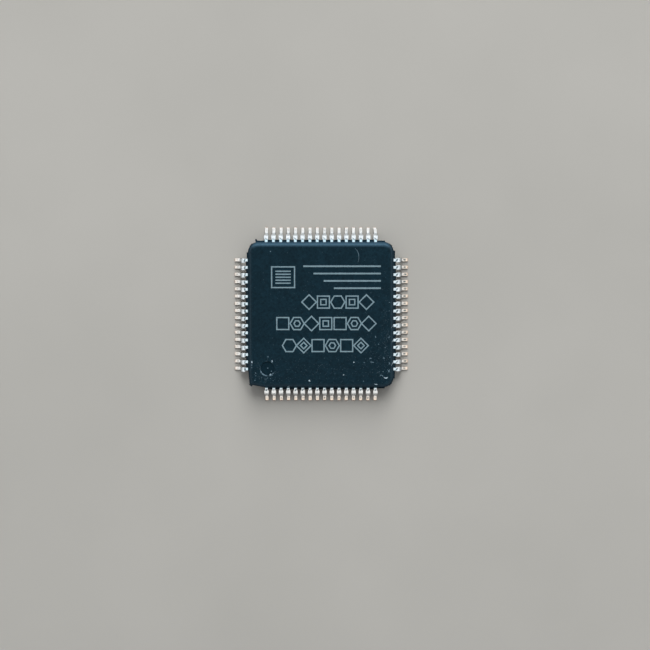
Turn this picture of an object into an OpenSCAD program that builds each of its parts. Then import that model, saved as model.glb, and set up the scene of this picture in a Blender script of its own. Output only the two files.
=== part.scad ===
// Quad flat package integrated circuit.
// A moulded body with gull-wing leads on four sides holds a die on its pad,
// and a fine wire joins each lead's inner finger to the die.
// Millimetres. The origin is the package centre on the seating plane, with +Z up.
// Pin 1 is the left-hand lead of the front row, beside the dimple,
// and the pins run anticlockwise: front, right, back, left.

/* [Body] */
// Width of the body at the parting line, both ways
body_w = 10; // [9:0.1:12]
// Moulded thickness of the body
body_t = 1.4; // [1:0.05:2]
// Gap between the body and the board
standoff = 0.1; // [0.05:0.01:0.3]
// Draft of the side walls, in degrees from upright
draft_deg = 14; // [8:1:18]
// Corner radius at the parting line
corner_r = 0.72; // [0.5:0.02:0.9]
// Bevel round the top and bottom faces
edge_bevel = 0.04; // [0.02:0.01:0.1]

/* [Gate corner] */
// Tapered stretch of the left side, measured from the corner
gate_left_len = 1.1; // [0.9:0.05:1.2]
// Tapered stretch of the front side, measured from the corner
gate_front_len = 1.08; // [0.9:0.05:1.2]
// How far the corner point is set in from the left side
gate_left_inset = 0.09; // [0.05:0.01:0.25]
// How far the corner point is set in from the front side
gate_front_inset = 0.19; // [0.1:0.01:0.35]

/* [Mould marks] */
// Diameter of the pin 1 dimple
index_d = 0.92; // [0.6:0.02:1.1]
// Depth of the pin 1 dimple
index_depth = 0.06; // [0.03:0.01:0.12]
// Distance of the dimple's centre from the left and front sides
index_inset = 1.35; // [1.1:0.05:1.8]
// Diameter of the ejector marks on the underside
ejector_d = 1.2; // [0.8:0.1:1.6]
// Depth of the ejector marks
ejector_depth = 0.03; // [0.02:0.01:0.06]
// Distance of an ejector mark's centre from the two nearest sides
ejector_inset = 2; // [1.5:0.1:3]

/* [Mould flash] */
// Thickness of the resin web left between the leads
flash_t = 0.11; // [0.06:0.01:0.14]
// Width of the ledge between an end lead and its corner
ledge_w = 0.09; // [0.03:0.01:0.14]
// Length of the ledge past the start of the round corner
ledge_corner_len = 0.19; // [0:0.01:0.25]
// Length of the broken spur at the back left corner
spur_len = 0.2; // [0.1:0.01:0.3]
// Width of the broken spur
spur_w = 0.07; // [0.04:0.01:0.1]

/* [Leads] */
// Leads on each side
leads_per_side = 16; // [8:1:16]
// Spacing of the leads along a side
lead_pitch = 0.5; // [0.4:0.01:0.55]
// Thickness of the lead frame
lead_t = 0.13; // [0.12:0.01:0.18]
// Reach of a lead from the body to its tip
lead_reach = 1; // [0.9:0.02:1.3]
// Width of a lead where it leaves the body
neck_w = 0.2; // [0.15:0.01:0.24]
// Length of the neck, up to where the tie between the leads was cut
neck_len = 0.16; // [0.1:0.01:0.2]
// Length of the flare from the neck to the shoulder
flare_len = 0.03; // [0.02:0.01:0.1]
// Width of the shoulder that the cut tie leaves
shoulder_w = 0.31; // [0.27:0.01:0.36]
// Level stretch of the shoulder, before the upper bend
shoulder_len = 0.12; // [0.02:0.01:0.15]
// How far the left row's shoulders sit off their leads' centres, towards the front
left_shoulder_shift = 0.04; // [0:0.01:0.05]
// How far short of the riser the shoulder stops in the upper bend, in degrees
shoulder_stop = 10; // [4:1:30]
// Width of the riser and foot
foot_w = 0.22; // [0.17:0.01:0.26]
// Inside radius of both bends
bend_r = 0.08; // [0.06:0.01:0.12]
// Slope of the riser, in degrees from level
riser_deg = 82; // [70:1:88]

/* [Lead frame in the body] */
// Straight stretch of a finger inside the wall
finger_root = 0.45; // [0.3:0.05:0.8]
// Width of a finger at its tip
finger_tip_w = 0.15; // [0.1:0.01:0.18]
// Gap between the die pad and the finger tips
finger_gap = 0.5; // [0.35:0.05:0.7]
// Gap along a row between an end finger's tip and the tie bar beside it
tie_gap = 0.4; // [0.2:0.05:0.6]
// Width of the die pad, both ways
pad_w = 5.1; // [4.8:0.1:5.8]
// Width of the tie bars that carry the die pad
tie_w = 0.25; // [0.15:0.01:0.35]
// Level stretch of a tie bar beside the pad
tie_level = 0.15; // [0.1:0.05:0.4]
// Length of the ramp that brings a tie bar up to the leads
tie_ramp = 0.4; // [0.3:0.05:0.8]
// How far a cut tie bar stands out of its corner
tie_stub = 0.03; // [0.01:0.01:0.06]

/* [Die and wires] */
// Width of the die, both ways
die_w = 4.2; // [3.6:0.1:4.7]
// Thickness of the die
die_t = 0.28; // [0.2:0.01:0.35]
// Thickness of the adhesive under the die
attach_t = 0.02; // [0.01:0.01:0.04]
// Margin of adhesive round the die
attach_rim = 0.1; // [0.05:0.01:0.2]
// Distance of the bonds from the die's edge
bond_inset = 0.1; // [0.06:0.01:0.2]
// Distance of a row's end bond from the die's corner
bond_corner = 0.3; // [0.2:0.05:0.6]
// Diameter of the ball that a wire starts from
ball_d = 0.07; // [0.05:0.005:0.09]
// Height of that ball, pressed flat on the die
ball_h = 0.02; // [0.01:0.005:0.03]
// Distance of a wire's outer end from its finger's tip
stitch_inset = 0.14; // [0.08:0.01:0.25]
// Diameter of the bond wires
wire_d = 0.03; // [0.02:0.005:0.04]
// Height of the wire loops above the die
loop_h = 0.2; // [0.12:0.01:0.3]

/* [Hidden] */

$fn = 48;
corner_steps = 10;
bend_steps = 8;

// Rows of leads in pin order, each known by its angle about Z from a row that faces +X
front_deg = -90;
right_deg = 0;
back_deg = 90;
left_deg = 180;
rows_deg = [front_deg, right_deg, back_deg, left_deg];

// Levels
half_w = body_w / 2;
z_bottom = standoff;
z_top = standoff + body_t;
z_parting = standoff + body_t / 2;
lead_bottom = z_parting - lead_t / 2;
bond_z = z_parting + lead_t / 2;
die_bottom = bond_z - die_t;
pad_top = die_bottom - attach_t;
pad_bottom = pad_top - lead_t;

// Stations of a lead, outwards from the package centre
flare_x = half_w + neck_len;
shoulder_x = flare_x + flare_len;
bend_x = shoulder_x + shoulder_len;
tip_x = half_w + lead_reach;
mid_r = bend_r + lead_t / 2;
outer_r = bend_r + lead_t;
shoulder_wrap = riser_deg - shoulder_stop;
riser_len = (lead_bottom - 2 * mid_r * (1 - cos(riser_deg))) / sin(riser_deg);
foot_x = bend_x + 2 * mid_r * sin(riser_deg) + riser_len * cos(riser_deg);
upper_bend = [bend_x, z_parting - mid_r];
lower_bend = [foot_x, outer_r];

// Fan of the fingers, and of the bonds on the die
row_half = lead_pitch * (leads_per_side - 1) / 2;
finger_tip_x = pad_w / 2 + finger_gap;
finger_root_x = half_w - finger_root;
finger_tip_half = finger_tip_x - tie_w / sqrt(2) - tie_gap - finger_tip_w / 2;
bond_x = die_w / 2 - bond_inset;
bond_half = die_w / 2 - bond_corner;
stitch_x = finger_tip_x + stitch_inset;

// Extra sweep of a wire's arc, trimmed off level with the die
wire_trim_deg = 30;

// Reach of the tie bars along the diagonals, and the gate corner's own point
corner_reach = sqrt(2) * (half_w - corner_r) + corner_r;
gate_point = [gate_left_inset - half_w, gate_front_inset - half_w];

// Place of lead i in a row that spreads from -half to half
function spread(i, half) = half * (2 * i / (leads_per_side - 1) - 1);

// How far a row's shoulders sit off their leads' centres
function shoulder_shift(row_deg) = row_deg == left_deg ? left_shoulder_shift : 0;

// Points of an arc, with angles clockwise from straight up
function arc(centre, r, from, to, steps) =
    [for (i = [0 : steps]) let (a = from + (to - from) * i / steps) centre + r * [sin(a), cos(a)]];

function reversed(list) = [for (i = [len(list) - 1 : -1 : 0]) list[i]];

function cross2(a, b) = a[0] * b[1] - a[1] * b[0];

// Wall's inset from the parting line at a level
function draft_inset(z) = abs(z - z_parting) * tan(draft_deg);

// The gate corner's point when both of its tapered walls are set in by e
function gate_corner(e) =
    let (
        along_left = gate_point - [-half_w, gate_left_len - half_w],
        along_front = gate_point - [gate_front_len - half_w, -half_w],
        slide = -cross2([e, -e], along_front) / cross2(along_left, along_front)
    )
    gate_point + [e, 0] + slide * along_left;

// A round corner of the outline, set in by e, anticlockwise from angle a
function round_corner(sx, sy, a, e) =
    [for (i = [0 : corner_steps]) let (t = a + 90 * i / corner_steps)
        (half_w - corner_r) * [sx, sy] + (corner_r - e) * [cos(t), sin(t)]];

// Outline of the body, set in by e from the parting line, anticlockwise
function outline(e) = concat(
    [gate_corner(e), [gate_front_len - half_w, e - half_w]],
    round_corner(1, -1, -90, e),
    round_corner(1, 1, 0, e),
    round_corner(-1, 1, 90, e),
    [[e - half_w, gate_left_len - half_w]]
);

// A solid through outlines at rising levels, each given as [level, inset]
module loft(sections) {
    count = len(outline(0));
    points = [for (s = sections) for (p = outline(s[1])) [p[0], p[1], s[0]]];
    last = (len(sections) - 1) * count;
    walls = [for (s = [0 : len(sections) - 2]) for (i = [0 : count - 1])
        let (a = s * count + i, b = s * count + (i + 1) % count) [a, a + count, b + count, b]];
    polyhedron(points, concat(
        [[for (i = [0 : count - 1]) i]],
        walls,
        [[for (i = [count - 1 : -1 : 0]) last + i]]
    ));
}

// The two drafted halves of the moulding, which meet at the parting line
module drafted_block() {
    edge_inset = draft_inset(z_top - edge_bevel);
    loft([
        [z_bottom, edge_inset + edge_bevel],
        [z_bottom + edge_bevel, edge_inset],
        [z_parting, 0],
        [z_top - edge_bevel, edge_inset],
        [z_top, edge_inset + edge_bevel]
    ]);
}

// A strip of flash on a row that faces +X, standing out of the body by reach
module flash_strip(from, to, reach) {
    translate([finger_root_x, from, z_parting - flash_t / 2])
        cube([half_w + reach - finger_root_x, to - from, flash_t]);
}

// Webs between the leads, a ledge at each round corner and the broken spur
module mould_flash() {
    ledge_end = half_w - corner_r + ledge_corner_len;
    for (row_deg = rows_deg) rotate(row_deg) {
        flash_strip(-row_half, row_half, neck_len);
        if (row_deg != left_deg) flash_strip(row_half, ledge_end, ledge_w);
        if (row_deg != front_deg) flash_strip(-ledge_end, -row_half, ledge_w);
    }
    rotate(back_deg) flash_strip(ledge_end - spur_w, ledge_end, spur_len);
}

// A lead's level part on a row that faces +X: finger, neck and flare
module lead_level(row_deg, i) {
    y = spread(i, row_half);
    stations = [
        [finger_tip_x, spread(i, finger_tip_half), finger_tip_w],
        [finger_root_x, y, neck_w],
        [flare_x, y, neck_w],
        [shoulder_x, y + shoulder_shift(row_deg), shoulder_w],
        [bend_x, y + shoulder_shift(row_deg), shoulder_w]
    ];
    translate([0, 0, lead_bottom]) linear_extrude(lead_t) polygon(concat(
        [for (s = stations) [s[0], s[1] - s[2] / 2]],
        reversed([for (s = stations) [s[0], s[1] + s[2] / 2]])
    ));
}

// An upright profile in X and Z, given width w about y
module lead_strip(profile, y, w) {
    translate([0, y + w / 2, 0]) rotate([90, 0, 0]) linear_extrude(w) polygon(profile);
}

// A lead's formed part: the shoulder round the upper bend, the riser and the foot
module lead_formed(row_deg, i) {
    y = spread(i, row_half);
    lead_strip(concat(
        arc(upper_bend, outer_r, 0, shoulder_wrap, bend_steps),
        arc(upper_bend, bend_r, shoulder_wrap, 0, bend_steps)
    ), y + shoulder_shift(row_deg), shoulder_w);
    lead_strip(concat(
        arc(upper_bend, outer_r, shoulder_wrap, riser_deg, 1),
        arc(lower_bend, bend_r, 180 + riser_deg, 180, bend_steps),
        [[tip_x, lead_t], [tip_x, 0]],
        arc(lower_bend, outer_r, 180, 180 + riser_deg, bend_steps),
        arc(upper_bend, bend_r, riser_deg, shoulder_wrap, 1)
    ), y, foot_w);
}

module lead_row(row_deg) {
    rotate(row_deg) for (i = [0 : leads_per_side - 1]) {
        lead_level(row_deg, i);
        lead_formed(row_deg, i);
    }
}

// A tie bar along +X, from under the die up to the leads and out to reach
module tie_bar(reach) {
    ramp_x = pad_w / sqrt(2) + tie_level;
    rise = lead_bottom - pad_bottom;
    under = [[0, 0], [ramp_x, 0], [ramp_x + tie_ramp, rise], [reach, rise]];
    translate([0, tie_w / 2, pad_bottom]) rotate([90, 0, 0]) linear_extrude(tie_w)
        polygon(concat(under, reversed([for (p = under) p + [0, lead_t]])));
}

// The pad, set down below the leads, with a tie bar to each corner
module pad_solid() {
    translate([-pad_w / 2, -pad_w / 2, pad_bottom]) cube([pad_w, pad_w, lead_t]);
    for (a = [45, 135, 315]) rotate(a) tie_bar(corner_reach + tie_stub);
    rotate(225) tie_bar(norm(gate_point) + tie_stub);
}

module attach_solid() {
    w = die_w + 2 * attach_rim;
    translate([-w / 2, -w / 2, pad_top]) cube([w, w, attach_t]);
}

module die_solid() {
    translate([-die_w / 2, -die_w / 2, die_bottom]) cube([die_w, die_w, die_t]);
}

// Where a finger's centreline is at the wire's outer end
function stitch_y(i) =
    let (share = stitch_inset / (finger_root_x - finger_tip_x))
    spread(i, finger_tip_half) * (1 - share) + spread(i, row_half) * share;

// A wire that rises from its ball on the die and arches over to its finger
module bond_wire(i) {
    from = [bond_x, spread(i, bond_half)];
    to = [stitch_x, stitch_y(i)];
    chord = norm(to - from);
    r = (chord * chord / 4 + loop_h * loop_h) / (2 * loop_h);
    sweep = 2 * asin(chord / 2 / r) + wire_trim_deg;
    translate([from[0], from[1], bond_z]) cylinder(d = ball_d, h = ball_h);
    translate([from[0], from[1], bond_z])
        rotate(atan2(to[1] - from[1], to[0] - from[0])) intersection() {
            translate([chord / 2, 0, loop_h - r]) rotate([90, sweep / 2 - 90, 0])
                rotate_extrude(angle = sweep) translate([r, 0]) circle(d = wire_d);
            translate([-wire_d, -wire_d, 0]) cube([chord + 2 * wire_d, 2 * wire_d, 2 * loop_h]);
        }
}

module wire_row(row_deg) {
    rotate(row_deg) for (i = [0 : leads_per_side - 1]) bond_wire(i);
}

// The moulding, closed tightly round everything that it holds
module package_body() {
    color("#16252e") difference() {
        union() {
            drafted_block();
            mould_flash();
        }
        translate([index_inset - half_w, index_inset - half_w, z_top - index_depth])
            cylinder(d = index_d, h = 2 * index_depth);
        for (s = [-1, 1])
            translate([s * (half_w - ejector_inset), s * (ejector_inset - half_w), z_bottom])
                cylinder(d = ejector_d, h = 2 * ejector_depth, center = true);
        for (row_deg = rows_deg) rotate(row_deg) for (i = [0 : leads_per_side - 1]) {
            lead_level(row_deg, i);
            bond_wire(i);
        }
        pad_solid();
        attach_solid();
        die_solid();
    }
}

module leads(row_deg) { color("#d9dcd8") lead_row(row_deg); }

module die_pad() { color("#b87345") pad_solid(); }

module die_attach() { color("#c9c7c0") attach_solid(); }

module die() { color("#5b6470") die_solid(); }

module wires(row_deg) { color("#e0b24a") wire_row(row_deg); }

package_body();
leads(front_deg);  // front_leads
leads(right_deg);  // right_leads
leads(back_deg);  // back_leads
leads(left_deg);  // left_leads
die_pad();
die_attach();
die();
wires(front_deg);  // front_wires
wires(right_deg);  // right_wires
wires(back_deg);  // back_wires
wires(left_deg);  // left_wires
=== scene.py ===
"""Looks of a quad flat package: moulded body, tin-plated leads, laser marks, wear and studio.

Sizes are in millimetres and are turned into metres when a mesh is made.
Rows of leads are made facing +X and turned about Z into place.
"""

import math
import random
from collections import namedtuple

import bmesh
import bpy
from mathutils import Matrix, Vector, noise


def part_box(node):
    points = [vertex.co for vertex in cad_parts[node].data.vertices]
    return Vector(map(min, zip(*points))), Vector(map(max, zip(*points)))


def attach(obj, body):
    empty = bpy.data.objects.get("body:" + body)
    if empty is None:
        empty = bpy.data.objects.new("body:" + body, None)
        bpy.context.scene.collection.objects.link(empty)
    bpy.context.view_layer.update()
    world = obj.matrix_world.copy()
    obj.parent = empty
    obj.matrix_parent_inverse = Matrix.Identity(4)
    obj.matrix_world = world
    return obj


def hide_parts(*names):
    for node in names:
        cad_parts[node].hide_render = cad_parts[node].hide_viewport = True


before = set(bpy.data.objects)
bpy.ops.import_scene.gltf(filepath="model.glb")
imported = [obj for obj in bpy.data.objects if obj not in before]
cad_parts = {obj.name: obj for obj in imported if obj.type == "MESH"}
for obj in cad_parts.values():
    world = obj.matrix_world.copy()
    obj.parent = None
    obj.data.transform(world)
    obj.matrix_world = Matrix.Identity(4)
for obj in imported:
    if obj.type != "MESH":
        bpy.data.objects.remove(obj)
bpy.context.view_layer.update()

MM = 0.001
UP = Vector((0, 0, 1))
SEED = 64
LASER_SEED = SEED + 10
BRIGHT_SEED = SEED + 20
PALE_SEED = SEED + 21
FINE_SEED = SEED + 22


def node_box(name):
    """The lowest and highest corners of a CAD node, in millimetres."""
    low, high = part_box(name)
    return low / MM, high / MM


# Levels and reaches taken from the frame
body_low, body_high = node_box("package_body")
lead_low, lead_high = node_box("right_leads")
Z_BOTTOM = body_low.z
Z_PARTING = (body_low.z + body_high.z) / 2
MARK_RISE = 0.003
Z_TOP = body_high.z - MARK_RISE
TIP_X = lead_high.x
FINGER_TIP_X = lead_low.x

# Body
BODY_HALF = 5.0
DRAFT = math.radians(14)
CORNER_R = 0.72
CORNER_STEPS = 45
EDGE_R = 0.055
EDGE_STEPS = 5
WALL_STEP = 0.03
GATE_FRONT_X = -3.92
GATE_LEFT_Y = -3.9
GATE_POINT = Vector((-4.91, -4.81))
GATE_R = 0.05
GATE_STEPS = 6
HOLD = 0.02
WEAR_REACH = 0.14

# Shares of the walls' paler tone (painted light and sheen, palest on the back wall), of the painted
# highlight on the back wall's edges, of their wear, and of painted shade on the resin
SIDE_TONE = 0.42
FRONT_TONE = 0.1
PARTING_TONE = 0.4
# Painted highlight along the back wall's edges
EDGE_HIGHLIGHT = 0.95
FACE_RIM_HIGHLIGHT = 0.55
SIDE_WEAR = 0.46
BACK_WEAR = 0.2
BELOW_EDGE_WEAR = 0.9
EDGE_WEAR = 0.45
RIM_WEAR = 0.12
WEB_WEAR = 0.6
WEB_SHADE = 0.5

# Round recesses: the pin 1 dimple on top and the ejector marks underneath
DIMPLE_AT = Vector((-3.65, -3.65))
DIMPLE_R = 0.46
DIMPLE_DEPTH = 0.06
DIMPLE_LIP = 0.025
EJECTORS_AT = (Vector((3, -3)), Vector((-3, 3)))
EJECTOR_R = 0.6
EJECTOR_DEPTH = 0.03
EJECTOR_LIP = 0.012
# Painted shade at the bottom of a recess
RECESS_SHADE = 0.3
RECESS_GLOSS = 0.75
RECESS_STEPS = 72
LIP_STEPS = 5
# Radius of the painted highlights on the dimple's rim
DIMPLE_HIGHLIGHT_R = DIMPLE_R + 2 * DIMPLE_LIP

# Mould flash along the parting line
FLASH_T = 0.11
WEB_REACH = 0.16
LEDGE_REACH = 0.09
LEDGE_END = 4.4
LEDGE_ENDS = {("back", "high"): 4.47, ("left", "low"): 4.29}
SPUR_REACH = 0.2
SPUR_W = 0.09
SEAM_REACH = 0.006
FLASH_ROUGHNESS = 0.014
FLASH_GRAIN = 0.07

# Across the flash, as (share of its half thickness, share of its reach)
FLASH_PROFILE = ((-1, 0), (-0.95, 0.9), (-0.6, 1), (0.5, 1), (0.9, 0.9), (1, 0))

# Leads
ROWS = ("front", "right", "back", "left")


def by_row(*values):
    return dict(zip(ROWS, values))


LEADS_PER_SIDE = 16
PITCH = 0.5
ROW_HALF = PITCH * (LEADS_PER_SIDE - 1) / 2
LEAD_T = 0.13
NECK_W = 0.2
SHOULDER_W = 0.31
FOOT_W = 0.22
FLARE_X = by_row(5.13, 5.16, 5.16, 5.2)
SHOULDER_X = by_row(5.29, 5.19, 5.19, 5.23)
BEND_X = by_row(5.35, 5.3, 5.31, 5.3)
BEND_R = 0.08
RISER = math.radians(82)
SHOULDER_WRAP = math.radians(72)
STEP_WRAP = math.radians(4)
FINGER_ROOT_X = 4.55
FINGER_TIP_W = 0.15
FINGER_TIP_HALF = 2.4
LEAD_EDGE_R = 0.02
SHOULDER_SHIFT = by_row(0, 0, 0, 0.04)
TIP_SHORT = by_row(0.015, 0, 0, 0.045)
TOP_CELLS = 8
EDGE_CELLS = 3
BOTTOM_CELLS = 4
LEAD_STEPS = {"neck": 40, "flare": 8, "flat": 8, "wrap": 14, "step": 4, "riser": 6, "heel": 8, "foot": 12}
BEND_MID_R = BEND_R + LEAD_T / 2
RISER_LEN = (Z_PARTING - LEAD_T / 2 - 2 * BEND_MID_R * (1 - math.cos(RISER))) / math.sin(RISER)
TIP_CUTS = (0.3 * LEAD_EDGE_R, LEAD_EDGE_R)

# Tie bar ends: the distances from the part's centre between which they turn dark
TIE_END_FROM = 6.5
TIE_END_TO = 6.7

# Blocks of circuits on the die, to a millimetre
DIE_BLOCKS = 2.5

# Camera, fitted to the photo: a long lens almost straight above, leaning to the back
IMAGE_SIDE = 650
SENSOR = 36
VIEW_DISTANCE = 125
FOCAL_PIXELS = 1806
VIEW_LEAN_BACK = math.radians(3.5)
VIEW_LEAN_LEFT = math.radians(0.4)
VIEW_OFFSET = (-0.277, 0.76)
CLIP_NEAR = 1
CLIP_FAR = 20000


def row_angle(row):
    return math.pi / 2 * (ROWS.index(row) - ROWS.index("right"))


def spread(index, half):
    """Place of one lead in a row that spreads from -half to half."""
    return half * (2 * index / (LEADS_PER_SIDE - 1) - 1)


def smooth(value):
    """A smooth rise from 0 to 1 as the value goes from 0 to 1."""
    t = min(max(value, 0), 1)
    return t * t * (3 - 2 * t)


def bell(distance, width):
    """A smooth bump of height 1 about a distance of 0."""
    return math.exp(-((distance / width) ** 2))


def arc_angles(start, sweep, steps):
    return [start + sweep * i / steps for i in range(steps + 1)]


def direction(angle):
    return Vector((math.cos(angle), math.sin(angle)))


class Shape:
    """Points, faces and per-point values, gathered before they become one mesh."""

    def __init__(self, *layers):
        self.points = []
        self.faces = []
        self.layers = {name: [] for name in layers}

    def point(self, place, **values):
        self.points.append(Vector(place))
        for name, column in self.layers.items():
            column.append(values.get(name, 0.0))
        return len(self.points) - 1

    def join(self, lower, upper, closed=True):
        """Quads between two rows of points."""
        count = len(lower)
        for i in range(count if closed else count - 1):
            j = (i + 1) % count
            self.faces.append((lower[i], lower[j], upper[j], upper[i]))

    def fan(self, ring, place, **values):
        """Triangles from a ring to one point."""
        centre = self.point(place, **values)
        for i, first in enumerate(ring):
            self.faces.append((first, ring[(i + 1) % len(ring)], centre))

    def turn(self, angle):
        """Turns all points about Z."""
        matrix = Matrix.Rotation(angle, 3, "Z")
        self.points = [matrix @ p for p in self.points]


def fill_flat(bm, rings):
    """Fills the flat area between an outer ring of points and the rings inside it."""
    bm.verts.ensure_lookup_table()
    edges = []
    for ring in rings:
        for i, first in enumerate(ring):
            pair = (bm.verts[first], bm.verts[ring[(i + 1) % len(ring)]])
            edges.append(bm.edges.get(pair) or bm.edges.new(pair))
    bmesh.ops.triangle_fill(bm, edges=edges, use_beauty=True)


def new_object(name, data):
    thing = bpy.data.objects.new(name, data)
    bpy.context.scene.collection.objects.link(thing)
    return thing


def make_piece(name, shape, material, sharp_angle, flat_fills=()):
    """Turns a shape into a mesh object that rides on the part."""
    mesh = bpy.data.meshes.new(name)
    mesh.from_pydata([p * MM for p in shape.points], [], shape.faces)
    for layer, column in shape.layers.items():
        attribute = mesh.attributes.new(layer, "FLOAT", "POINT")
        attribute.data.foreach_set("value", column)
    bm = bmesh.new()
    bm.from_mesh(mesh)
    for rings in flat_fills:
        fill_flat(bm, rings)
    bmesh.ops.recalc_face_normals(bm, faces=bm.faces)
    bm.to_mesh(mesh)
    bm.free()
    mesh.shade_smooth()
    mesh.set_sharp_from_angle(angle=math.radians(sharp_angle))
    mesh.materials.append(material)
    piece = new_object(name, mesh)
    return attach(piece, "root")


# Materials

# A mix node's sockets for its factor and two colours, and the one that gives the colour
MIX_INPUTS = (0, 6, 7)
MIX_OUTPUT = 2


class Look:
    """A node material, with short ways to make its fields and to feed its shader."""

    def __init__(self, name):
        self.material = bpy.data.materials.new(name)
        self.material.use_nodes = True
        self.tree = self.material.node_tree
        self.shader = self.tree.nodes["Principled BSDF"]

    def feed(self, socket, value):
        """Links a socket to another one, or stores a plain number or colour in it."""
        if isinstance(value, bpy.types.NodeSocket):
            self.tree.links.new(value, socket)
        elif isinstance(value, tuple):
            socket.default_value = (*value, 1)
        else:
            socket.default_value = value

    def surface(self, name, value):
        self.feed(self.shader.inputs[name], value)

    def node(self, kind, inputs):
        node = self.tree.nodes.new(kind)
        for key, value in inputs.items():
            self.feed(node.inputs[key], value)
        return node

    def coordinates(self):
        return self.node("ShaderNodeTexCoord", {}).outputs["Object"]

    def noise(self, scale, detail=3.0, roughness=0.55):
        """Noise over the object's own coordinates, with its scale in features per millimetre."""
        inputs = {"Scale": scale / MM, "Detail": detail, "Roughness": roughness}
        return self.node("ShaderNodeTexNoise", {"Vector": self.coordinates(), **inputs}).outputs[0]

    def ramp(self, value, *stops):
        """Colours along a value, each stop given as (place, colour)."""
        node = self.node("ShaderNodeValToRGB", {0: value})
        for element, (place, colour) in zip(node.color_ramp.elements, stops):
            element.position = place
            element.color = (*colour, 1)
        return node.outputs[0]

    def level(self, value, low, high, to_low, to_high):
        """A value carried from one range to another, and held at its ends."""
        ends = {"From Min": low, "From Max": high, "To Min": to_low, "To Max": to_high}
        return self.node("ShaderNodeMapRange", {"Value": value, **ends}).outputs[0]

    def mix(self, factor, first, second, blend="MIX"):
        """Two colours, each a socket or fixed, mixed by a factor."""
        node = self.node("ShaderNodeMix", {})
        node.data_type = "RGBA"
        node.blend_type = blend
        for index, value in zip(MIX_INPUTS, (factor, first, second)):
            self.feed(node.inputs[index], value)
        return node.outputs[MIX_OUTPUT]

    def times(self, first, second):
        node = self.node("ShaderNodeMath", {0: first, 1: second})
        node.operation = "MULTIPLY"
        return node.outputs[0]

    def reach(self, low, high):
        """A rise from 0 to 1 between two distances from the part's centre, in millimetres."""
        node = self.node("ShaderNodeVectorMath", {0: self.coordinates()})
        node.operation = "LENGTH"
        return self.level(node.outputs["Value"], low * MM, high * MM, 0, 1)

    def layer(self, name):
        """A value that the mesh carries at its points."""
        node = self.node("ShaderNodeAttribute", {})
        node.attribute_name = name
        return node.outputs["Fac"]

    def bump(self, height, depth, strength=1.0):
        """Fine relief, with its depth in millimetres."""
        inputs = {"Height": height, "Distance": depth * MM, "Strength": strength}
        self.surface("Normal", self.node("ShaderNodeBump", inputs).outputs[0])

    def done(self, colour, roughness, metallic=0.0, specular=0.5):
        """Feeds the shader's main sockets and gives back the material."""
        self.surface("Base Color", colour)
        self.surface("Roughness", roughness)
        self.surface("Metallic", metallic)
        self.surface("Specular IOR Level", specular)
        return self.material


def moulding_material():
    """Blue-black moulding compound: mottled grain, walls painted paler as light and sheen, worn edges,
    and painted shade in the dimple and on the resin between the leads.
    """
    look = Look("moulding")
    grain = look.noise(scale=9, detail=4, roughness=0.65)
    clouds = look.noise(scale=0.9, detail=3)
    mottle = look.noise(scale=4.5, detail=4, roughness=0.7)
    wear = look.noise(scale=9, detail=5, roughness=0.7)
    colour = look.ramp(grain, (0.3, (0.0014, 0.0092, 0.0160)), (0.7, (0.0036, 0.0165, 0.0265)))
    shade = look.ramp(clouds, (0.3, (0.86, 0.86, 0.86)), (0.7, (1.14, 1.14, 1.14)))
    colour = look.mix(1.0, colour, shade, "MULTIPLY")
    spots = look.ramp(mottle, (0.3, (0.45, 0.66, 0.70)), (0.7, (1.55, 1.34, 1.30)))
    colour = look.mix(1.0, colour, spots, "MULTIPLY")
    # Painted light and sheen: the walls' paler, bluer tone, palest on the back wall
    wall = look.ramp(grain, (0.3, (0.036, 0.078, 0.119)), (0.7, (0.058, 0.123, 0.180)))
    colour = look.mix(look.layer("side"), colour, wall)
    worn = look.times(look.layer("edge_wear"), look.level(wear, 0.35, 0.7, 0.3, 0.9))
    colour = look.mix(worn, colour, (0.085, 0.100, 0.108))
    # Painted shade in the recesses and on the resin that stands out between the leads
    sunk = look.level(look.layer("sunk"), 0, 1, 0, 0.8)
    colour = look.mix(sunk, colour, (0.0006, 0.0060, 0.0110))
    look.surface("Specular Tint", (0.6, 0.9, 1.0))
    look.bump(grain, depth=0.006, strength=0.5)
    gloss = look.level(look.layer("gloss"), 0, 1, 0, 0.11)
    return look.done(colour, look.level(grain, 0.3, 0.7, 0.5, 0.66), specular=gloss)


def tin_material():
    """Matt tin plate: painted reflections as bluish necks and warm feet, painted shade in creases and on
    risers, dark flanks and copper cut ends.
    """
    look = Look("tin_plate")
    grain = look.noise(scale=28, detail=4, roughness=0.65)
    patches = look.noise(scale=5, detail=2)
    colour = look.ramp(grain, (0.3, (0.68, 0.71, 0.73)), (0.65, (0.88, 0.90, 0.91)))
    shade = look.ramp(patches, (0.35, (0.9, 0.92, 0.93)), (0.65, (1.0, 1.0, 1.0)))
    colour = look.mix(1.0, colour, shade, "MULTIPLY")
    # Painted reflection of a bluish sky on the necks
    colour = look.mix(look.layer("neck"), colour, (0.66, 0.83, 0.91))
    # Painted warm reflection on the feet, heels and front shoulders
    colour = look.mix(look.layer("foot"), colour, (0.88, 0.71, 0.56))
    # Painted shade in the creases and on the risers, also dark streaks on the feet and darkening near the
    # body
    colour = look.mix(look.layer("crease"), colour, (0.012, 0.06, 0.075))
    # Dark sides and underside: sheared metal, darkened further as painted shade between the leads
    colour = look.mix(look.layer("flank"), colour, (0.30, 0.26, 0.23))
    colour = look.mix(look.layer("cut_end"), colour, (0.62, 0.40, 0.28))
    look.bump(grain, depth=0.003, strength=0.5)
    return look.done(colour, look.level(grain, 0.3, 0.7, 0.46, 0.58), metallic=1.0)


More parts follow.
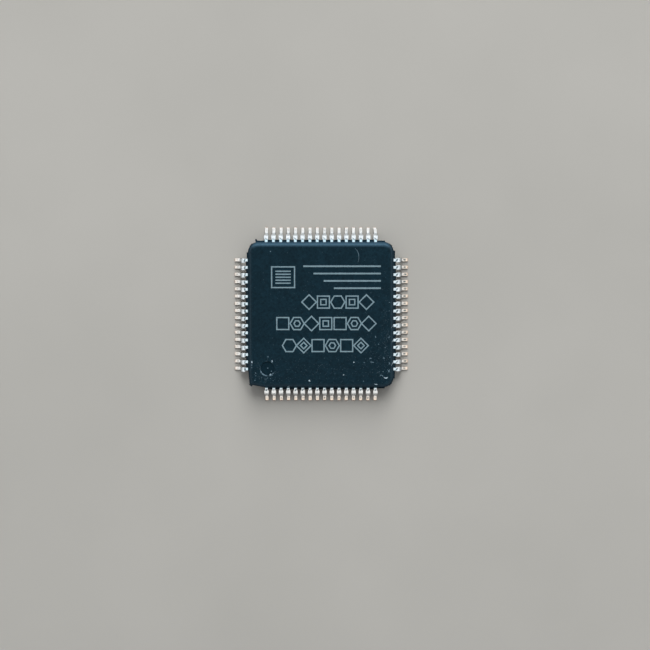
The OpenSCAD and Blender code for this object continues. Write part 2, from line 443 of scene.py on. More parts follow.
def laser_material():
    """Moulding compound greyed by a laser, uneven along each stroke."""
    look = Look("laser_mark")
    grain = look.noise(scale=30, detail=4, roughness=0.7)
    colour = look.ramp(grain, (0.3, (0.125, 0.195, 0.225)), (0.7, (0.28, 0.385, 0.44)))
    look.bump(grain, depth=0.004)
    return look.done(colour, look.level(grain, 0.3, 0.7, 0.75, 0.9), specular=0.15)


def scuff_material(name, dark, pale):
    """Rubbed or chipped compound, caught dust and painted highlights on the dimple's rim, in one tone."""
    look = Look(name)
    grain = look.noise(scale=24, detail=5, roughness=0.75)
    colour = look.ramp(grain, (0.3, dark), (0.68, pale))
    look.bump(grain, depth=0.004)
    return look.done(colour, look.level(grain, 0.3, 0.7, 0.7, 0.95), specular=0.2)


def copper_material():
    """Rolled copper alloy with tarnish in patches, almost black on the ends outside the body."""
    look = Look("lead_frame_copper")
    grain = look.noise(scale=18, detail=4)
    tarnish = look.noise(scale=1.6, detail=4, roughness=0.65)
    colour = look.ramp(grain, (0.3, (0.48, 0.25, 0.14)), (0.7, (0.66, 0.39, 0.24)))
    colour = look.mix(look.level(tarnish, 0.45, 0.7, 0, 0.7), colour, (0.16, 0.09, 0.06))
    colour = look.mix(look.reach(TIE_END_FROM, TIE_END_TO), colour, (0.018, 0.026, 0.032))
    look.bump(grain, depth=0.002)
    return look.done(colour, look.level(tarnish, 0.3, 0.7, 0.3, 0.55), metallic=1.0)


def adhesive_material():
    """Epoxy filled with silver flakes."""
    look = Look("die_attach_epoxy")
    flakes = look.noise(scale=40, detail=5, roughness=0.8)
    colour = look.ramp(flakes, (0.35, (0.30, 0.29, 0.27)), (0.65, (0.66, 0.65, 0.62)))
    look.bump(flakes, depth=0.003)
    return look.done(colour, look.level(flakes, 0.35, 0.65, 0.6, 0.35), metallic=0.4)


def silicon_material():
    """Polished silicon, tinted in blocks like the circuits on its face."""
    look = Look("silicon")
    inputs = {"Vector": look.coordinates(), "Scale": DIE_BLOCKS / MM}
    blocks = look.node("ShaderNodeTexVoronoi", inputs)
    blocks.distance = "CHEBYCHEV"
    distance = blocks.outputs["Distance"]
    tint = look.ramp(distance, (0.1, (0.10, 0.12, 0.17)), (0.6, (0.26, 0.24, 0.20)))
    return look.done(tint, look.level(distance, 0, 0.8, 0.12, 0.3), metallic=0.7)


def gold_material():
    """Drawn gold wire."""
    look = Look("bond_wire_gold")
    drawn = look.noise(scale=60, detail=3)
    colour = look.ramp(drawn, (0.3, (0.72, 0.50, 0.16)), (0.7, (0.90, 0.68, 0.28)))
    return look.done(colour, look.level(drawn, 0.3, 0.7, 0.18, 0.32), metallic=1.0)


def floor_material():
    """Plain pale floor with a faint unevenness."""
    look = Look("floor")
    clouds = look.noise(scale=0.05, detail=3)
    colour = look.ramp(clouds, (0.3, (0.45, 0.425, 0.39)), (0.7, (0.49, 0.462, 0.425)))
    return look.done(colour, roughness=0.8, specular=0.2)


# Moulded body

class Wall:
    """Points round the body at the parting line, each with the way it moves when set in."""

    def __init__(self):
        self.places = []
        self.inwards = []
        self.rows = []

    def add(self, place, inward, row=None):
        self.places.append(Vector(place))
        self.inwards.append(Vector(inward))
        self.rows.append(row)

    def straight(self, place, inward, row):
        """Points from the last one up to, but not at, the given one."""
        first = self.places[-1]
        first_inward = self.inwards[-1]
        count = max(2, round((place - first).length / WALL_STEP))
        for i in range(1, count):
            share = i / count
            self.add(first.lerp(place, share), first_inward.lerp(inward, share), row)

    def corner(self, sx, sy, start, row_before, row_after):
        """A round corner, reached along a straight side."""
        centre = (BODY_HALF - CORNER_R) * Vector((sx, sy))
        normals = [direction(a) for a in arc_angles(start, math.pi / 2, CORNER_STEPS)]
        self.straight(centre + CORNER_R * normals[0], -normals[0], row_before)
        for i, normal in enumerate(normals):
            row = row_before if 2 * i < CORNER_STEPS else row_after
            self.add(centre + CORNER_R * normal, -normal, row)


def mitre(first_normal, second_normal):
    """How a corner between two walls moves when both are set in by 1."""
    return -(first_normal + second_normal) / (1 + first_normal.dot(second_normal))


def body_wall():
    """The body's outline, anticlockwise from the gate corner."""
    front_kink = Vector((GATE_FRONT_X, -BODY_HALF))
    left_kink = Vector((-BODY_HALF, GATE_LEFT_Y))
    front_normal = Vector((0, -1))
    left_normal = Vector((-1, 0))
    along_left = (GATE_POINT - left_kink).normalized()
    along_front = (front_kink - GATE_POINT).normalized()
    gate_left_normal = Vector((along_left.y, -along_left.x))
    gate_front_normal = Vector((along_front.y, -along_front.x))
    gate_inward = mitre(gate_left_normal, gate_front_normal)
    gate_centre = GATE_POINT + GATE_R * gate_inward

    wall = Wall()
    start = math.atan2(gate_left_normal.y, gate_left_normal.x)
    for angle in arc_angles(start, gate_left_normal.angle(gate_front_normal), GATE_STEPS):
        wall.add(gate_centre + GATE_R * direction(angle), gate_inward)
    front_inward = mitre(gate_front_normal, front_normal)
    wall.straight(front_kink, front_inward, None)
    wall.add(front_kink, front_inward, "front")
    wall.corner(1, -1, -math.pi / 2, "front", "right")
    wall.corner(1, 1, 0, "right", "back")
    wall.corner(-1, 1, math.pi / 2, "back", "left")
    left_inward = mitre(left_normal, gate_left_normal)
    wall.straight(left_kink, left_inward, "left")
    wall.add(left_kink, left_inward, "left")
    wall.straight(wall.places[0], wall.inwards[0], None)
    return wall


def flash_reach(place, row):
    """How far the resin stands out of the parting line at a place on the wall."""
    if row is None:
        return SEAM_REACH
    outward, along = Matrix.Rotation(-row_angle(row), 2) @ place
    grain = noise.noise(Vector((along / FLASH_GRAIN, ROWS.index(row), 0.5)))
    rough = BODY_HALF - outward + FLASH_ROUGHNESS * grain
    ledge_end = LEDGE_ENDS.get((row, "high" if along > 0 else "low"), LEDGE_END)
    if row == "back" and ledge_end - SPUR_W < along < ledge_end:
        return SPUR_REACH + rough
    if abs(along) <= ROW_HALF:
        return WEB_REACH + rough - FLASH_ROUGHNESS
    gate_end = (row == "front" and along < 0) or (row == "left" and along > 0)
    if gate_end or abs(along) > ledge_end:
        return SEAM_REACH
    return LEDGE_REACH + rough


class WallTone:
    """How pale a wall is painted by the way it faces, as painted light: palest on the back wall and a
    little paler on the front. Also how much of the grey worn tone it takes, more on the sides than on the
    back.
    """

    def __init__(self, inward):
        # Painted light: the back wall is palest, and takes the painted highlight on its edges
        self.back = smooth(-2 * inward.y - 1)
        self.pale = SIDE_TONE + (1 - SIDE_TONE) * self.back + FRONT_TONE * smooth(inward.y)
        self.worn = SIDE_WEAR + (BACK_WEAR - SIDE_WEAR) * self.back


def draft_inset(z):
    return abs(z - Z_PARTING) * math.tan(DRAFT)


def edge_profile(z_face):
    """Levels and insets round the edge between a wall and a flat face, from the wall inwards."""
    side = 1 if z_face > Z_PARTING else -1
    z_centre = z_face - side * EDGE_R
    inset_centre = draft_inset(z_centre) + EDGE_R / math.cos(DRAFT)
    angles = arc_angles(DRAFT, math.pi / 2 - DRAFT, EDGE_STEPS)
    levels = [z_centre + side * EDGE_R * math.sin(a) for a in angles]
    insets = [inset_centre - EDGE_R * math.cos(a) for a in angles]
    return list(zip(levels, insets))


class BodyRings:
    """Rings of points round the wall, each at a level, set in from the wall and with its looks."""

    def __init__(self, shape, wall):
        self.shape = shape
        self.wall = wall
        self.tones = [WallTone(inward) for inward in wall.inwards]

    def ring(self, z, insets, wear=0.0, side=1.0, highlight=0.0, sunk=0.0, gloss=0.0):
        indices = []
        for place, inward, inset, tone in zip(self.wall.places, self.wall.inwards, insets, self.tones):
            p = place + inset * inward
            # Painted light: the walls' paler tone, and a painted highlight along the back wall's edges
            pale = max(side * tone.pale, highlight * tone.back)
            looks = {"edge_wear": wear * tone.worn, "side": pale, "sunk": sunk, "gloss": gloss}
            indices.append(self.shape.point((p.x, p.y, z), **looks))
        return indices

    def even(self, inset):
        return [inset] * len(self.tones)

    def edge(self, z_face):
        """Rings round a flat face's edge, from the wall inwards."""
        profile = edge_profile(z_face)
        z_start = profile[0][0]
        z_end, inset_end = profile[-1]
        below = z_start - math.copysign(EDGE_R, z_face - Z_PARTING)
        rings = [self.ring(below, self.even(draft_inset(below)), wear=BELOW_EDGE_WEAR)]
        for i, (z, inset) in enumerate(profile):
            share = i / EDGE_STEPS
            # A painted highlight on the back wall's edges fades onto the flat face
            rings.append(self.ring(z, self.even(inset), EDGE_WEAR, 1 - share, EDGE_HIGHLIGHT, gloss=share))
        rings.append(self.ring(z_end, self.even(inset_end + HOLD), RIM_WEAR, 0.0, FACE_RIM_HIGHLIGHT, gloss=1.0))
        rings.append(self.ring(z_end, self.even(inset_end + WEAR_REACH), side=0.0, gloss=1.0))
        return rings

    def flash(self):
        """Rings across the resin that stands out of the parting line, darkened outwards by painted shade.
        """
        reaches = [flash_reach(p, row) for p, row in zip(self.wall.places, self.wall.rows)]
        rings = []
        for height, share in FLASH_PROFILE:
            z = Z_PARTING + height * FLASH_T / 2
            insets = [draft_inset(z) * (1 - share) - share * reach for reach in reaches]
            wear = WEB_WEAR if height > 0 else 0.0
            # Painted shade darkens the resin towards its outer edge; the walls' painted paler tone fades
            # out across it
            rings.append(self.ring(z, insets, wear, PARTING_TONE * (1 - share), sunk=WEB_SHADE * share))
        return rings

    def upwards(self):
        """All rings from the bottom face to the top face."""
        bottom = self.edge(Z_BOTTOM)[::-1]
        return bottom + self.flash() + self.edge(Z_TOP)


def add_recess(shape, centre, radius, depth, lip, z_face, down):
    """A round recess with a soft lip and painted shade that deepens down into it; gives back the ring
    that the flat face meets.
    """
    ways = [direction(a) for a in arc_angles(0, math.tau, RECESS_STEPS)[:-1]]

    def ring(r, drop):
        share = drop / depth
        # Painted shade that deepens down the recess
        dark = RECESS_SHADE * share
        gloss = 1 - (1 - RECESS_GLOSS) * share
        places = [centre + r * way for way in ways]
        return [shape.point((p.x, p.y, z_face - down * drop), sunk=dark, gloss=gloss) for p in places]

    quarter = arc_angles(0, math.pi / 2, LIP_STEPS)
    floor_lip = min(lip, depth - lip)
    rings = [ring(radius + lip + HOLD, 0)]
    for a in quarter:
        rings.append(ring(radius + lip * (1 - math.sin(a)), lip * (1 - math.cos(a))))
    for a in quarter:
        rings.append(ring(radius - floor_lip * (1 - math.cos(a)), depth - floor_lip * (1 - math.sin(a))))
    rings.append(ring(radius - floor_lip - HOLD, depth))
    for outer, inner in zip(rings, rings[1:]):
        shape.join(outer, inner)
    middle = (centre.x, centre.y, z_face - down * depth)
    shape.fan(rings[-1], middle, sunk=RECESS_SHADE, gloss=RECESS_GLOSS)
    return rings[0]


def moulded_body(material):
    shape = Shape("edge_wear", "side", "sunk", "gloss")
    rings = BodyRings(shape, body_wall()).upwards()
    for lower, upper in zip(rings, rings[1:]):
        shape.join(lower, upper)
    dimple = add_recess(shape, DIMPLE_AT, DIMPLE_R, DIMPLE_DEPTH, DIMPLE_LIP, Z_TOP, 1)
    ejectors = [
        add_recess(shape, at, EJECTOR_R, EJECTOR_DEPTH, EJECTOR_LIP, Z_BOTTOM, -1) for at in EJECTORS_AT
    ]
    fills = ([rings[-1], dimple], [rings[0], *ejectors])
    body = make_piece("moulded_body", shape, material, sharp_angle=50, flat_fills=fills)
    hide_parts("package_body")


# Leads

# Where each row's crease lies, how it slants and how dark the painted shade in it is
CREASE_X = by_row(5.195, 5.23, 5.2, 5.23)
CREASE_SLANT = by_row(-0.5, 0.5, 0.5, 0)
CREASE_W = by_row(0.055, 0.055, 0.05, 0.055)
CREASE_LEN = by_row(0.075, 0.1, 0.1, 0.13)
CREASE_STRENGTH = by_row(1.05, 1.05, 0.7, 1.05)
CREASE_DEPTH = 0.012
CREASE_PLAY = 0.015
STRENGTH_PLAY = (0.7, 1.3)
SLANT_PLAY = 0.3

# How far out each row's leads are darkened near the body, and the painted shade and painted reflections
# of each row
ROOT_DARK_END = by_row(5.07, 5.0, 5.0, 5.04)
ROOT_FADE = 0.02
# Painted shade on each row's risers
RISER_SHADE = by_row(0.38, 0.42, 0.05, 0.3)
# Painted reflection of a bluish sky on each row's necks
NECK_REFLECTION = by_row(0.1, 0.45, 1.0, 0.45)
# Painted warm reflection on each row's feet, heels and front shoulders
FOOT_REFLECTION = by_row(1.0, 0.95, 0.34, 0.62)
HEEL_REFLECTION = 0.55
SHOULDER_REFLECTION = by_row(0.28, 0, 0, 0)

# Small differences between leads
LATERAL_PLAY = 0.006
WIDTH_PLAY = 0.007
TIP_PLAY = 0.012
BENT_ROW = "back"
BENT_INDEX = 0
BENT_SKEW = 0.045

# Streaks along the feet, each lead taking one of its row's strengths
STREAK_W = 0.048
STREAK_LEN = 0.3
STREAK_MOST = 0.9
STREAK_AT = (0.3, 0.55)
STREAKS = by_row((0.35, 0.6, 0.9), (0.85, 1.15, 1.4), (0.15, 0.25, 0.4), (0.2, 0.35, 0.55))


# One cross-section of a lead: its middle, lean, width, side shift, part of the lead and share of it
Station = namedtuple("Station", ("x", "z", "lean", "width", "across", "part", "share"))


def step_shares(part):
    count = LEAD_STEPS[part]
    return [i / count for i in range(1, count + 1)]


class LeadPath:
    """Stations of one lead from the finger's tip to the foot's tip."""

    def __init__(self, row, index, rng):
        self.y = spread(index, ROW_HALF)
        self.shift = SHOULDER_SHIFT[row] + rng.uniform(-LATERAL_PLAY, LATERAL_PLAY) / 2
        self.shoulder_w = SHOULDER_W + rng.uniform(-WIDTH_PLAY, WIDTH_PLAY)
        self.foot_w = FOOT_W + rng.uniform(-WIDTH_PLAY, WIDTH_PLAY)
        self.sway = rng.uniform(-LATERAL_PLAY, LATERAL_PLAY)
        self.tip_x = TIP_X - TIP_SHORT[row] - rng.uniform(0, TIP_PLAY)
        self.skew = BENT_SKEW if (row, index) == (BENT_ROW, BENT_INDEX) else 0
        self.bend_x = BEND_X[row]
        self.stations = []
        self.add(FINGER_TIP_X, Z_PARTING, 0, FINGER_TIP_W, spread(index, FINGER_TIP_HALF), "finger", 0)
        self.add(FINGER_ROOT_X, Z_PARTING, 0, NECK_W, self.y, "finger", 1)
        xs = (FINGER_ROOT_X, FLARE_X[row], SHOULDER_X[row], self.bend_x)
        widths = (NECK_W, NECK_W, self.shoulder_w, self.shoulder_w)
        shifts = (0, 0, self.shift, self.shift)
        for i, part in enumerate(("neck", "flare", "flat")):
            self.add_level(part, xs[i : i + 2], widths[i : i + 2], shifts[i : i + 2])
        self.add_bend()
        self.add_riser()
        self.add_foot()

    def add(self, *values):
        self.stations.append(Station(*values))

    def add_level(self, part, xs, widths, shifts):
        """A level stretch, with the places, widths and side shifts of its two ends."""
        for t in step_shares(part):
            rise = smooth(t)
            x = xs[0] + (xs[1] - xs[0]) * t
            width = widths[0] + (widths[1] - widths[0]) * rise
            shift = shifts[0] + (shifts[1] - shifts[0]) * rise
            self.add(x, Z_PARTING, 0, width, self.y + shift, part, t)

    def add_bend(self):
        """The upper bend, as wide as the shoulder and then stepped in to the riser's width."""
        for t in step_shares("wrap"):
            self.add_on_bend(SHOULDER_WRAP * t, self.shoulder_w, self.shift, "wrap", t)
        for t in step_shares("step"):
            lean = SHOULDER_WRAP + (RISER - SHOULDER_WRAP) * t
            narrow = smooth((lean - SHOULDER_WRAP) / STEP_WRAP)
            width = self.shoulder_w + (self.foot_w - self.shoulder_w) * narrow
            self.add_on_bend(lean, width, self.shift * (1 - narrow), "step", t)

    def add_on_bend(self, lean, width, shift, part, share):
        x = self.bend_x + BEND_MID_R * math.sin(lean)
        z = Z_PARTING - BEND_MID_R * (1 - math.cos(lean))
        self.add(x, z, lean, width, self.y + shift, part, share)

    def add_riser(self):
        top = self.stations[-1]
        for t in step_shares("riser"):
            run = RISER_LEN * t
            x = top.x + run * math.cos(RISER)
            z = top.z - run * math.sin(RISER)
            self.add(x, z, RISER, self.foot_w, self.y, "riser", t)

    def add_foot(self):
        """The lower bend and the flat foot."""
        foot_x = self.bend_x + 2 * BEND_MID_R * math.sin(RISER) + RISER_LEN * math.cos(RISER)
        for t in step_shares("heel"):
            lean = RISER * (1 - t)
            x = foot_x - BEND_MID_R * math.sin(lean)
            z = LEAD_T / 2 + BEND_MID_R * (1 - math.cos(lean))
            self.add(x, z, lean, self.foot_w, self.y + self.sway * t / 2, "heel", t)
        for t in step_shares("foot"):
            x = foot_x + (self.tip_x - LEAD_EDGE_R - foot_x) * t
            across = self.y + self.sway * (1 + t) / 2 + self.skew * smooth(t)
            self.add(x, LEAD_T / 2, 0, self.foot_w, across, "foot", t)


def section(width, squeeze):
    """A flat strip's rounded section: (across, up, on top) points, clockwise from the top left."""
    r = LEAD_EDGE_R
    half = width / 2 - squeeze
    rise = LEAD_T / 2 - squeeze
    flat = half - r
    quarter = arc_angles(0, math.pi / 2, EDGE_CELLS)[1:]
    back_quarter = [0] + quarter[:-1]
    points = [(flat * (2 * i / TOP_CELLS - 1), rise, True) for i in range(TOP_CELLS + 1)]
    points += [(flat + r * math.sin(a), rise - r + r * math.cos(a), False) for a in quarter]
    points += [(flat + r * math.cos(a), r - rise - r * math.sin(a), False) for a in back_quarter]
    points += [(flat * (1 - 2 * i / BOTTOM_CELLS), -rise, False) for i in range(BOTTOM_CELLS + 1)]
    points += [(-flat - r * math.sin(a), r - rise - r * math.cos(a), False) for a in quarter]
    points += [(-flat - r * math.cos(a), rise - r + r * math.sin(a), False) for a in back_quarter]
    return points


class LeadLooks:
    """One lead's darkening near the body, painted reflections, crease with painted shade at the flare,
    and streak along the foot.
    """

    def __init__(self, row, rng):
        self.row = row
        self.crease = CREASE_STRENGTH[row] * rng.uniform(*STRENGTH_PLAY)
        self.crease_at = CREASE_X[row] + rng.uniform(-CREASE_PLAY, CREASE_PLAY)
        self.slant = CREASE_SLANT[row] + rng.uniform(-SLANT_PLAY, SLANT_PLAY)
        self.streak = rng.choice(STREAKS[row])
        self.streak_at = rng.uniform(*STREAK_AT)

    def root(self, station):
        """How far the lead is darkened all round near the body."""
        return smooth((ROOT_DARK_END[self.row] - station.x) / ROOT_FADE)

    def riser_shade_and_dark_root(self, station):
        """How dark the lead is all round: darkened near the body, and painted shade on the riser."""
        bend = 1 - station.share if station.part == "heel" else 1.0
        return max(self.root(station), RISER_SHADE[self.row] * bend * math.sin(station.lean) ** 2)

    def warm_reflection(self, station):
        """Painted warm reflection on the shoulder and the foot."""
        if station.part == "heel":
            return FOOT_REFLECTION[self.row] * HEEL_REFLECTION * station.share
        if station.part == "foot":
            return FOOT_REFLECTION[self.row] * (HEEL_REFLECTION + (1 - HEEL_REFLECTION) * station.share)
        return SHOULDER_REFLECTION[self.row] if station.part in ("flare", "flat", "wrap", "step") else 0.0

    def sky_reflection(self, station):
        """Painted reflection of a bluish sky on the neck, strongest on the back row."""
        return NECK_REFLECTION[self.row] * {"neck": 1.0, "flare": 1 - station.share}.get(station.part, 0.0)

    def dent(self, station, across):
        """How deep the crease or the streak is at a place on the lead's upper side; the same value paints
        shade into the crease and darkens the streak.
        """
        if station.part in ("neck", "flare", "flat", "wrap"):
            off = station.x - self.crease_at - self.slant * across
            crease = self.crease * bell(off, CREASE_W[self.row]) * bell(across, CREASE_LEN[self.row])
            return min(1, crease)
        if station.part == "foot":
            along = bell(station.share - self.streak_at, STREAK_LEN)
            return min(STREAK_MOST, self.streak * along * bell(across, STREAK_W))
        return 0.0


def station_ring(shape, station, looks, squeeze=0.0, cut=0.0):
    """Adds a station's section to a row's shape, with its dents, painted shade and painted reflections.
    """
    along = Vector((math.cos(station.lean), 0, -math.sin(station.lean)))
    normal = Vector((math.sin(station.lean), 0, math.cos(station.lean)))
    bare = 1 - looks.root(station)
    riser_shade_and_dark_root = looks.riser_shade_and_dark_root(station)
    tints = {"foot": looks.warm_reflection(station), "neck": looks.sky_reflection(station), "cut_end": cut}
    ring = []
    for across, up, on_top in section(station.width, squeeze):
        dent = looks.dent(station, across) if on_top else 0.0
        # Dark sides and underside, partly painted shade between the leads
        flank = 0.0 if on_top else min(bare, (LEAD_T / 2 - up) / LEAD_EDGE_R)
        place = Vector((station.x, station.across + across, station.z))
        place += (up - CREASE_DEPTH * dent) * normal + squeeze * along
        # The crease value carries painted shade in the crease and on the riser, the streak and the
        # darkening near the body
        ring.append(shape.point(place, crease=max(dent, riser_shade_and_dark_root), flank=flank, **tints))
    return ring


def add_lead(shape, row, index, rng):
    stations = LeadPath(row, index, rng).stations
    looks = LeadLooks(row, rng)
    rings = [station_ring(shape, station, looks) for station in stations]
    rings += [station_ring(shape, stations[-1], looks, squeeze, cut=1.0) for squeeze in TIP_CUTS]
    for inner, outer in zip(rings, rings[1:]):
        shape.join(inner, outer)
    for ring in (rings[0], rings[-1]):
        centre = sum((shape.points[i] for i in ring), Vector()) / len(ring)
        shape.fan(ring, centre, cut_end=1.0)


def lead_row(row, material):
    rng = random.Random(SEED + ROWS.index(row))
    shape = Shape("crease", "foot", "neck", "flank", "cut_end")
    for index in range(LEADS_PER_SIDE):
        add_lead(shape, row, index, rng)
    shape.turn(row_angle(row))
    leads = make_piece(f"{row}_plated_leads", shape, material, sharp_angle=55)
    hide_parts(f"{row}_leads")


# Marks on the top face

STROKE_STEP = 0.06
STROKE_PLAY = 0.12
TAPER_END = 0.25
MARK_SHARP = 30
MARK_SINK = 0.004
LASER_W = 0.085
STRIPE_W = 0.11
MARK_LOW = Z_TOP - MARK_SINK

# Shares of the marks' full rise, apart so that no two of them share a face
LASER_LIFT = (0.2, 0.35)
FINE_LIFT = (0.4, 0.55)
PALE_LIFT = (0.6, 0.75)
BRIGHT_LIFT = (0.8, 0.95)


def resampled(points, closed):
    """Points along a line at even short steps, with its corners kept."""
    ends = points[1:] + points[:1] if closed else points[1:]
    line = []
    for first, last in zip(points, ends):
        count = max(1, round((last - first).length / STROKE_STEP))
        line += [first.lerp(last, i / count) for i in range(count)]
    return line if closed else line + [points[-1]]


def side_steps(line, closed):
    """The sideways direction at each point of a line, longer at a corner."""
    count = len(line)
    steps = []
    for i in range(count):
        before = line[i - 1] if closed or i > 0 else None
        after = line[(i + 1) % count] if closed or i < count - 1 else None
        ways = [(b - a).normalized() for a, b in ((before, line[i]), (line[i], after)) if a and b]
        normals = [Vector((-way.y, way.x)) for way in ways]
        steps.append(-mitre(normals[0], normals[-1]))
    return steps


def mark_top(lift, rng):
    """The height of one mark's upper face."""
    return Z_TOP + MARK_RISE * rng.uniform(*lift)


def add_stroke(shape, points, width, lift, rng, closed=False, taper=False):
    """A thin raised strip along a line, with uneven edges."""
    top = mark_top(lift, rng)
    line = resampled([Vector(p) for p in points], closed)
    sides = side_steps(line, closed)
    rows = [[], [], [], []]
    for i, (place, side) in enumerate(zip(line, sides)):
        half = width / 2 * (1 + rng.uniform(-STROKE_PLAY, STROKE_PLAY))
        if taper:
            half *= TAPER_END + (1 - TAPER_END) * math.sin(math.pi * (i + 0.5) / len(line))
        left = place + half * side
        right = place - half * side
        corners = ((left, MARK_LOW), (left, top), (right, top), (right, MARK_LOW))
        for row, (p, z) in zip(rows, corners):
            row.append(shape.point((p.x, p.y, z)))
    for first, second in zip(rows, rows[1:] + rows[:1]):
        shape.join(first, second, closed)
    if not closed:
        shape.faces.append(tuple(row[0] for row in rows))
        shape.faces.append(tuple(row[-1] for row in rows))


# Plain figures along each row of the marking, each as (sides, first corner's angle, radius)
SQUARE = (4, math.pi / 4, 0.58)
DIAMOND = (4, 0, 0.5)
HEXAGON = (6, 0, 0.48)
FIGURE_PITCH = 0.98
INNER_SHARE = 0.45

# Rows as (x of the first figure, y, figures)
FIGURE_ROWS = (
    (-0.8, 0.9, (DIAMOND, SQUARE, HEXAGON, SQUARE, DIAMOND)),
    (-2.6, -0.57, (SQUARE, HEXAGON, DIAMOND, SQUARE, SQUARE, HEXAGON, DIAMOND)),
    (-2.15, -2.08, (HEXAGON, DIAMOND, SQUARE, HEXAGON, SQUARE, DIAMOND)),
)

# The field on the left, and the stripes beside it at the same height
FIELD_LEFT = -3.4
FIELD_RIGHT = -1.75
FIELD_LOW = 1.85
FIELD_HIGH = 3.35
FIELD_MARGIN = 0.3
FIELD_BARS = 5
STRIPE_LEFTS = (0.9, 0.2, -0.5, -1.2)
STRIPES_RIGHT = 4.1


def add_polygon(shape, centre, radius, sides, turn, rng):
    """A hollow regular polygon."""
    corners = [centre + radius * direction(a) for a in arc_angles(turn, math.tau, sides)[:-1]]
    add_stroke(shape, corners, LASER_W, LASER_LIFT, rng, closed=True)


def add_figure_row(shape, first_x, y, figures, rng):
    """A row of figures, with a smaller one inside every second."""
    for i, (sides, turn, radius) in enumerate(figures):
        centre = Vector((first_x + i * FIGURE_PITCH, y))
        add_polygon(shape, centre, radius, sides, turn, rng)
        if i % 2:
            add_polygon(shape, centre, INNER_SHARE * radius, sides, turn, rng)


def add_field(shape, rng):
    """A hollow frame with level bars in it."""
    half = LASER_W / 2
    left, right, low, high = FIELD_LEFT + half, FIELD_RIGHT - half, FIELD_LOW + half, FIELD_HIGH - half
    corners = [(left, low), (right, low), (right, high), (left, high)]
    add_stroke(shape, corners, LASER_W, LASER_LIFT, rng, closed=True)
    first_y, last_y = low + FIELD_MARGIN, high - FIELD_MARGIN
    for i in range(FIELD_BARS):
        y = first_y + (last_y - first_y) * i / (FIELD_BARS - 1)
        ends = [(FIELD_LEFT + FIELD_MARGIN, y), (FIELD_RIGHT - FIELD_MARGIN, y)]
        add_stroke(shape, ends, LASER_W, LASER_LIFT, rng)


def add_stripes(shape, rng):
    """Level stripes that end in one line on the right."""
    for i, left in enumerate(STRIPE_LEFTS):
        y = FIELD_LOW + (FIELD_HIGH - FIELD_LOW) * i / (len(STRIPE_LEFTS) - 1)
        add_stroke(shape, [(left, y), (STRIPES_RIGHT, y)], STRIPE_W, LASER_LIFT, rng)


def laser_marks(material):
    """Generic marking: a hatched field, four stripes and three rows of plain figures."""
    rng = random.Random(LASER_SEED)
    shape = Shape()
    add_field(shape, rng)
    add_stripes(shape, rng)
    for row in FIGURE_ROWS:
        add_figure_row(shape, *row, rng)
    marks = make_piece("laser_marks", shape, material, MARK_SHARP)


# Wear on the top face and the upper walls, and painted highlights on the dimple's rim, placed as the
# photo shows it

# Dark and pale ends of each kind of scuff's grain
BRIGHT_TONES = ((0.27, 0.36, 0.42), (0.56, 0.68, 0.76))
PALE_TONES = ((0.045, 0.08, 0.105), (0.17, 0.26, 0.32))
FINE_TONES = ((0.012, 0.027, 0.038), (0.034, 0.062, 0.082))

# A bright scratch at a corner and two chips on the edges, each as points and a width
BRIGHT_SCRATCHES = (
    ([(4.32, -4.26), (4.39, -4.31), (4.48, -4.32), (4.60, -4.25)], 0.07),
    ([(-4.74, -3.15), (-4.715, -3.29)], 0.075),
    ([(3.66, -4.715), (3.76, -4.74), (3.88, -4.75)], 0.042),
)

# Pale scratches: a long arc, a curl and a fork of two
PALE_SCRATCHES = (
    ([(2.33, 4.60), (2.48, 4.42), (2.58, 4.20), (2.60, 3.90), (2.53, 3.58)], 0.032),
    ([(4.05, -4.18), (4.12, -4.10), (4.20, -4.13), (4.29, -4.23)], 0.045),
    ([(4.56, -3.72), (4.66, -3.82), (4.74, -3.93)], 0.045),
    ([(4.60, -3.93), (4.72, -3.72)], 0.045),
)

# Short dashes, all of one width
DASH_W = 0.06
DASHES = (
    [(-4.735, -3.36), (-4.73, -3.46)],
    [(-4.735, -3.56), (-4.73, -3.64)],
    [(4.68, -3.24), (4.735, -3.38)],
    [(3.32, -2.95), (3.48, -2.96)],
    [(3.39, -3.20), (3.64, -3.24)],
    [(4.30, -2.86), (4.34, -3.01)],
    [(3.74, -1.42), (3.76, -1.55)],
)

# Scratches on the upper walls: the row, points of (along the row, up the slope) and the width
WALL_SCRATCHES = (
    ("right", [(-3.25, 0.1), (-3.34, 0.38), (-3.45, 0.66)], 0.07),
    ("right", [(-1.72, 0.14), (-1.86, 0.5)], 0.06),
    ("right", [(-0.74, 0.36), (-0.86, 0.66)], 0.06),
    ("front", [(-2.3, 0.12), (-2.16, 0.56)], 0.07),
)

# Specks as (x, y, size)
BRIGHT_SPECKS = (
    (2.26, -3.23, 0.13), (-0.78, -4.50, 0.17), (1.56, -4.09, 0.11), (-3.46, -4.05, 0.1),
    (-3.33, -3.15, 0.1),
)
PALE_SPECKS = (
    (-3.43, 4.36, 0.1), (2.97, -3.25, 0.09), (3.95, -1.99, 0.09), (4.41, -2.21, 0.07),
    (4.66, -1.54, 0.13), (4.72, -1.44, 0.09), (4.73, -2.88, 0.09), (4.27, -3.87, 0.08),
    (4.00, -3.89, 0.07), (2.92, -4.53, 0.07), (4.70, 0.88, 0.09), (4.68, 0.30, 0.07),
    (-3.62, -2.85, 0.1), (-3.38, -3.85, 0.09), (-4.52, -4.47, 0.1), (-3.45, -4.34, 0.08),
    (-4.47, -3.97, 0.09), (-4.46, -4.16, 0.08), (-4.06, -4.30, 0.08), (-3.65, -4.31, 0.07),
    (-3.27, -4.50, 0.07), (-3.76, -4.38, 0.07), (-3.30, -4.12, 0.07),
)
DIMPLE_SPECK = (-3.63, -3.64, 0.09)
SPECK_SIDES = (5, 8)
SPECK_STRETCH = (0.6, 1.0)
SPECK_PLAY = (0.65, 1.1)

